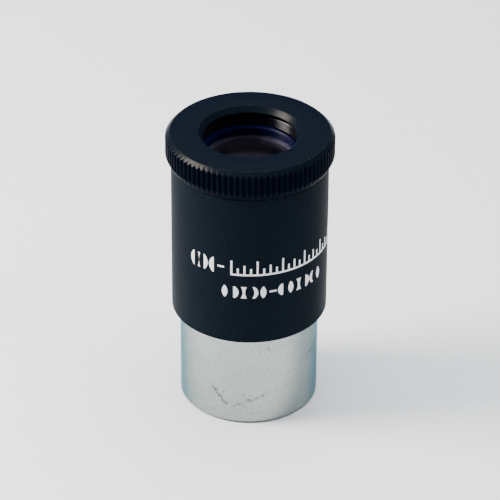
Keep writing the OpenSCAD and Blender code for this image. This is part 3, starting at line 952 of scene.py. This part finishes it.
def build_lock_nut():
    bore_r = CARRIER_R + THREAD_CLEAR
    outline_at, stations = slotted([
        (bore_r, NUT_LOW, 0.06 * MM), (NUT_R, NUT_LOW, 0.15 * MM),
        (NUT_R, NUT_TOP, 0.1 * MM), (bore_r, NUT_TOP, 0.06 * MM),
    ], NUT_LOW + 0.6 * MM, on_top=False)
    mesh = bmesh.new()
    spin(mesh, outline_at, stations)
    nut = finished("stop_lock_nut", mesh, "body", [INNER_BLACK])
    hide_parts("carrier_lock_nut")


def build_stop():
    stop = turned("field_stop_disc", [
        (STOP_HOLE_R, STOP_LOW, 0.02 * MM),
        (STOP_R, STOP_LOW, 0.03 * MM),
        (STOP_R, STOP_TOP, 0.03 * MM),
        (STOP_HOLE_R + STOP_TOP - STOP_LOW - BAFFLE_EDGE, STOP_TOP, 0.03 * MM),
        (STOP_HOLE_R, STOP_LOW + BAFFLE_EDGE, 0.02 * MM),
    ], "body", [INNER_BLACK])
    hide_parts("field_stop")


def build_snap_ring():
    gap_half = 1.2 * MM
    steps = 150
    wire_r = (SNAP_TOP - SNAP_LOW) / 2
    centre_r = SNAP_R - wire_r
    centre_z = (SNAP_TOP + SNAP_LOW) / 2
    wire = [(centre_r + wire_r * cos(a), centre_z + wire_r * sin(a)) for a in around(14)]
    gap = asin(gap_half / centre_r)
    turns = [-pi / 2 + gap + (tau - 2 * gap) * i / steps for i in range(steps + 1)]
    mesh = bmesh.new()
    spin(mesh, lambda station: wire, turns, closed=False)
    snap = finished("stop_wire_ring", mesh, "body", [WIRE])
    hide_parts("stop_snap_ring")


# ---------------------------------------------------------------- print on the body

INK_T = 0.02 * MM
INK_CELL = 0.35 * MM
STROKE = 0.45 * MM
SCALE_LOW, SCALE_HIGH = 41.4 * MM, 45.2 * MM
FORMS_LOW, FORMS_HIGH = 35.5 * MM, 38.5 * MM


def at_degrees(degrees):
    """Distance along the body's surface from its front to an angle, to the right as positive."""
    return BODY_R * radians(degrees)


def ink(mesh, low, high, left, right, rows=1):
    """A thin printed patch on the body between two heights; left and right give its sides at a height."""
    levels_z = [low + (high - low) * j / rows for j in range(rows + 1)]
    widest = max(right(z) - left(z) for z in levels_z)
    columns = max(1, ceil(widest / INK_CELL))
    sheets = []
    for r in (BODY_R + INK_T, BODY_R - INK_T):
        sheet = []
        for z in levels_z:
            start, end = left(z), right(z)
            row = []
            for i in range(columns + 1):
                angle = -pi / 2 + (start + (end - start) * i / columns) / BODY_R
                row.append(mesh.verts.new((r * cos(angle), r * sin(angle), z)))
            sheet.append(row)
        sheets.append(sheet)
    outer, inner = sheets
    for j in range(rows):
        for i in range(columns):
            mesh.faces.new((outer[j][i], outer[j][i + 1], outer[j + 1][i + 1], outer[j + 1][i]))
            mesh.faces.new((inner[j][i], inner[j + 1][i], inner[j + 1][i + 1], inner[j][i + 1]))
        mesh.faces.new((outer[j][0], outer[j + 1][0], inner[j + 1][0], inner[j][0]))
        mesh.faces.new((outer[j][-1], inner[j][-1], inner[j + 1][-1], outer[j + 1][-1]))
    for i in range(columns):
        mesh.faces.new((outer[0][i], inner[0][i], inner[0][i + 1], outer[0][i + 1]))
        mesh.faces.new((outer[-1][i], outer[-1][i + 1], inner[-1][i + 1], inner[-1][i]))


def bar(mesh, low, high, start, end):
    """A printed rectangle."""
    ink(mesh, low, high, lambda z: start, lambda z: end)


def lens_form(mesh, low, high, middle, width, left_bulge, right_bulge):
    """The section of a lens, printed solid: a positive bulge is convex, a negative one concave."""

    def bulge(z):
        share = (2 * z - low - high) / (high - low)
        return 1 - share * share

    ink(
        mesh, low, high,
        lambda z: middle - width / 2 - left_bulge * bulge(z),
        lambda z: middle + width / 2 + right_bulge * bulge(z), rows=14)


def print_scale(mesh):
    """The upper row: the section of the optics, then a plain scale that runs on round the body."""
    lens_form(mesh, SCALE_LOW, SCALE_HIGH, at_degrees(-44), 0.3 * MM, 0.75 * MM, 0.0)
    lens_form(mesh, SCALE_LOW, SCALE_HIGH, at_degrees(-39.2), 0.7 * MM, -0.35 * MM, -0.35 * MM)
    lens_form(mesh, SCALE_LOW, SCALE_HIGH, at_degrees(-34.4), 0.3 * MM, 0.0, 0.75 * MM)
    lens_form(mesh, SCALE_LOW, SCALE_HIGH, at_degrees(-27), 0.35 * MM, 0.9 * MM, 0.0)
    middle = (SCALE_LOW + SCALE_HIGH) / 2
    bar(mesh, middle - STROKE / 2, middle + STROKE / 2, at_degrees(-23.5), at_degrees(-18.5))
    first, last = at_degrees(-13), at_degrees(101)
    ticks = 25
    medium_high, short_high = SCALE_LOW + 2.7 * MM, SCALE_LOW + 1.9 * MM
    bar(mesh, SCALE_LOW, SCALE_LOW + STROKE, first - STROKE / 2, last + STROKE / 2)
    for i in range(ticks):
        along = first + (last - first) * i / (ticks - 1)
        top = (SCALE_HIGH, short_high, medium_high, short_high)[i % 4]
        bar(mesh, SCALE_LOW + STROKE, top, along - STROKE / 2, along + STROKE / 2)


def print_forms(mesh):
    """The lower row: lens forms with a dash between them."""
    round_form, hollow_form = (0.25, 0.55, 0.55), (1.35, -0.4, -0.4)
    flat_left, flat_right = (0.45, 0.0, 0.8), (0.45, 0.8, 0.0)
    forms = [
        round_form, flat_left, hollow_form, (0.6, -0.45, 0.75), round_form, None,
        flat_right, round_form, hollow_form, flat_left, (0.6, 0.75, -0.45), round_form,
    ]
    dash_half = 0.8 * MM
    start, end = at_degrees(-18), at_degrees(60)
    middle = (FORMS_LOW + FORMS_HIGH) / 2
    for i, form in enumerate(forms):
        along = start + (end - start) * i / (len(forms) - 1)
        if form:
            width, left_bulge, right_bulge = form
            lens_form(mesh, FORMS_LOW, FORMS_HIGH, along, width * MM, left_bulge * MM, right_bulge * MM)
        else:
            bar(mesh, middle - STROKE / 2, middle + STROKE / 2, along - dash_half, along + dash_half)


def build_print():
    mesh = bmesh.new()
    print_scale(mesh)
    print_forms(mesh)
    finished("printed_marks", mesh, "body", [INK])


# ---------------------------------------------------------------- stage

CAMERA_DISTANCE = 0.680
CAMERA_TILT = radians(32.19)
CAMERA_ROLL = 0.0065
CAMERA_LENS = 214.84
FLOOR_GAP = 0.02 * MM
AIM = Vector((0.000126, 0.0, 0.03713))


def build_camera():
    data = bpy.data.cameras.new("camera")
    data.lens = CAMERA_LENS
    data.sensor_width = 36
    camera = bpy.data.objects.new("camera", data)
    bpy.context.scene.collection.objects.link(camera)
    spot = AIM + CAMERA_DISTANCE * Vector((0, -cos(CAMERA_TILT), sin(CAMERA_TILT)))
    tilt = Matrix.Rotation(pi / 2 - CAMERA_TILT, 4, "X")
    roll = Matrix.Rotation(CAMERA_ROLL, 4, "Z")
    camera.matrix_world = Matrix.Translation(spot) @ tilt @ roll
    bpy.context.scene.camera = camera


def soft_box(name, direction, distance, size, power, colour=(1, 1, 1), mirrored=True):
    """A square lamp that faces the eyepiece from a direction. Unless mirrored, gloss doesn't show it."""
    data = bpy.data.lights.new(name, "AREA")
    data.shape = "SQUARE"
    data.size = size
    data.energy = power
    data.color = colour
    lamp = bpy.data.objects.new(name, data)
    bpy.context.scene.collection.objects.link(lamp)
    facing = Vector(direction).normalized()
    lamp.location = AIM + distance * facing
    lamp.rotation_euler = facing.to_track_quat("Z", "Y").to_euler()
    lamp.visible_glossy = mirrored
    lamp.visible_transmission = False


CARD_DISTANCE = 1.2
CARD_HALF_WIDTH = 0.9
CARD_LOW = 0.02
CARD_TOP_ELEVATION = radians(29.97)
CARD_MIRROR_Y = 9 * MM


def build_card():
    """A deep blue card behind the eyepiece, which only polished faces mirror. Its upper edge shows in the
    flat face of the eye lens."""
    left, right = -CARD_HALF_WIDTH, CARD_HALF_WIDTH
    high = EYE_LENS_TOP + (CARD_DISTANCE - CARD_MIRROR_Y) * tan(CARD_TOP_ELEVATION)
    corners = [(left, CARD_LOW), (right, CARD_LOW), (right, high), (left, high)]
    data = bpy.data.meshes.new("blue_card")
    data.from_pydata([(x, CARD_DISTANCE, z) for x, z in corners], [], [(0, 1, 2, 3)])
    material, tree, shader = new_finish(
        "blue_card", Base_Color=(0, 0, 0, 1), Roughness=1.0, Specular_IOR_Level=0.0, Emission_Strength=1.0)
    cloud = put(tree, "ShaderNodeTexNoise", Scale=2.0, Detail=1.0)
    glow = between(tree, cloud.outputs[0], (0.030, 0.045, 0.15), (0.036, 0.052, 0.17))
    tree.links.new(glow, shader.inputs["Emission Color"])
    data.materials.append(material)
    card = bpy.data.objects.new("blue_card", data)
    bpy.context.scene.collection.objects.link(card)
    card.visible_camera = False
    card.visible_diffuse = False
    card.visible_shadow = False
    card.visible_transmission = False


def build_floor():
    mesh = bmesh.new()
    bmesh.ops.create_grid(mesh, x_segments=2, y_segments=2, size=4.0)
    data = bpy.data.meshes.new("floor")
    mesh.to_mesh(data)
    mesh.free()
    material, tree, shader = new_finish("pale_floor", Roughness=0.7)
    cloud = put(tree, "ShaderNodeTexNoise", Scale=3.0, Detail=2.0)
    colour = between(tree, cloud.outputs[0], (0.84, 0.87, 0.89), (0.87, 0.90, 0.92))
    tree.links.new(colour, shader.inputs["Base Color"])
    data.materials.append(material)
    floor = bpy.data.objects.new("floor", data)
    floor.location.z = BARREL_LOW - FLOOR_GAP
    bpy.context.scene.collection.objects.link(floor)


def build_lights():
    soft_box("key_light", (-0.80, -0.03, 0.60), distance=0.60, size=0.25, power=9.0, colour=(1.0, 0.95, 0.88))
    soft_box("top_light", (0.1, 0.1, 1.0), distance=0.90, size=0.80, power=15.0, mirrored=False)
    soft_box(
        "right_fill", (0.85, -0.45, 0.45), distance=0.80, size=0.40, power=2.0, colour=(0.85, 0.93, 1.0),
        mirrored=False)
    world = bpy.data.worlds.new("studio")
    bpy.context.scene.world = world
    world.use_nodes = True
    background = world.node_tree.nodes["Background"]
    background.inputs["Color"].default_value = (0.74, 0.72, 0.90, 1)
    background.inputs["Strength"].default_value = 0.18


build_camera()
build_floor()
build_lights()
build_card()
build_barrel()
build_baffle()
build_body()
build_cell()
build_carrier()
build_lock_nut()
build_stop()
build_snap_ring()
build_glass()
build_spacer()
build_retainer()
build_washer()
build_cap()
build_print()
